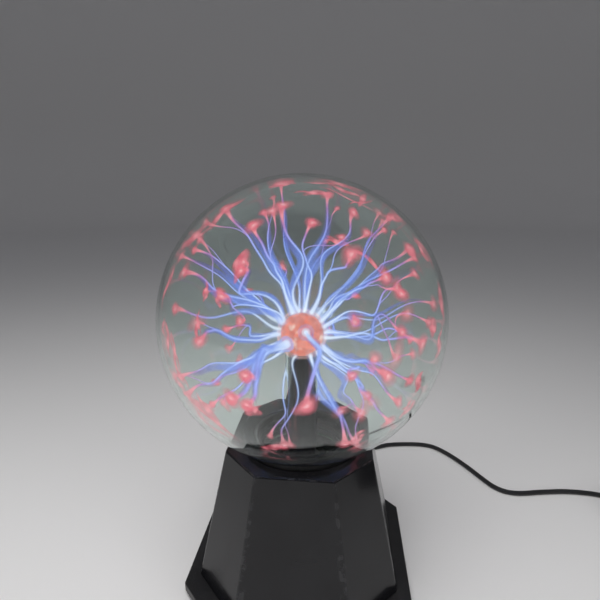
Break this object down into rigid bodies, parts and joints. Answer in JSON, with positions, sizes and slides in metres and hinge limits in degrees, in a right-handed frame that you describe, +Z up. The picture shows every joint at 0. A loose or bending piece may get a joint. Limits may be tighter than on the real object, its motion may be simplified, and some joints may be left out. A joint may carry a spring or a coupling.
{
  "type": "plasma ball",
  "caption": "Clear glass globe on a flared eight-sided black base, with a centre electrode on a glass stem and a low-voltage lead to a wall adapter.",
  "frame": {"origin": "on the table, under the middle of the base; measured without the power lead and what is on it", "axes": "+Z up along the globe's axis, -Y out of the front of the base, +Y out of the rear wall with the switch and the power jack"},
  "size_m": [0.4675, 0.2656, 0.306],
  "materials": {
    "black_rubber": "matt",
    "black_sleeve": "dull black",
    "board_green": "solder mask",
    "bright_metal": "nickel plated",
    "capacitor_blue": "shrink sleeve",
    "clear_glass": "clear, faintly green at grazing angles",
    "component_black": "moulded epoxy",
    "cord_black": "satin PVC jacket",
    "ferrite": "dull grey-black",
    "gasket_foam": "closed-cell foam",
    "gloss_black": "glossy moulded",
    "glowing_wool": "fine wool, lit from the discharge",
    "heat_sink_aluminium": "plain extruded",
    "lead_red": "silicone insulation",
    "satin_black": "fine-grained moulded",
    "winding_tape": "polyester tape",
    "zinc_steel": "zinc plated"
  },
  "bodies": {
    "lamp": {"adapter_body": "satin_black", "adapter_prong_1": "bright_metal", "adapter_prong_2": "bright_metal", "adapter_strain_relief": "black_rubber", "base_housing": "gloss_black", "base_screw_1": "zinc_steel", "base_screw_2": "zinc_steel", "base_screw_3": "zinc_steel", "base_screw_4": "zinc_steel", "base_tray": "satin_black", "board_screw_1": "zinc_steel", "board_screw_2": "zinc_steel", "board_screw_3": "zinc_steel", "board_screw_4": "zinc_steel", "circuit_board": "board_green", "coil_tie": "black_rubber", "collar_screw_1": "zinc_steel", "collar_screw_2": "zinc_steel", "collar_screw_3": "zinc_steel", "collar_screw_4": "zinc_steel", "drive_capacitor": "capacitor_blue", "drive_transistor": "component_black", "driver_chip": "component_black", "electrode_wool": "glowing_wool", "filter_capacitor": "capacitor_blue", "foot_1": "black_rubber", "foot_2": "black_rubber", "foot_3": "black_rubber", "foot_4": "black_rubber", "globe_gasket": "gasket_foam", "globe_glass": "clear_glass", "heat_sink": "heat_sink_aluminium", "high_voltage_lead": "lead_red", "lead_coil": "cord_black", "lead_tail": "cord_black", "microphone": "bright_metal", "neck_collar": "satin_black", "plug_barrel": "bright_metal", "plug_grip": "black_rubber", "power_jack": "component_black", "power_lead": "cord_black", "stem_boot": "black_rubber", "stem_glass": "clear_glass", "stem_sleeve": "black_sleeve", "switch_body": "bright_metal", "transformer_core": "ferrite", "transformer_winding": "winding_tape"},
    "switch_slider": {"switch_slider": "satin_black"}
  },
  "joints": [
    {"name": "switch_travel", "type": "slide", "parent": "lamp", "child": "switch_slider", "axis": [1, 0, 0], "range_m": [0, 0.008]}
  ]
}
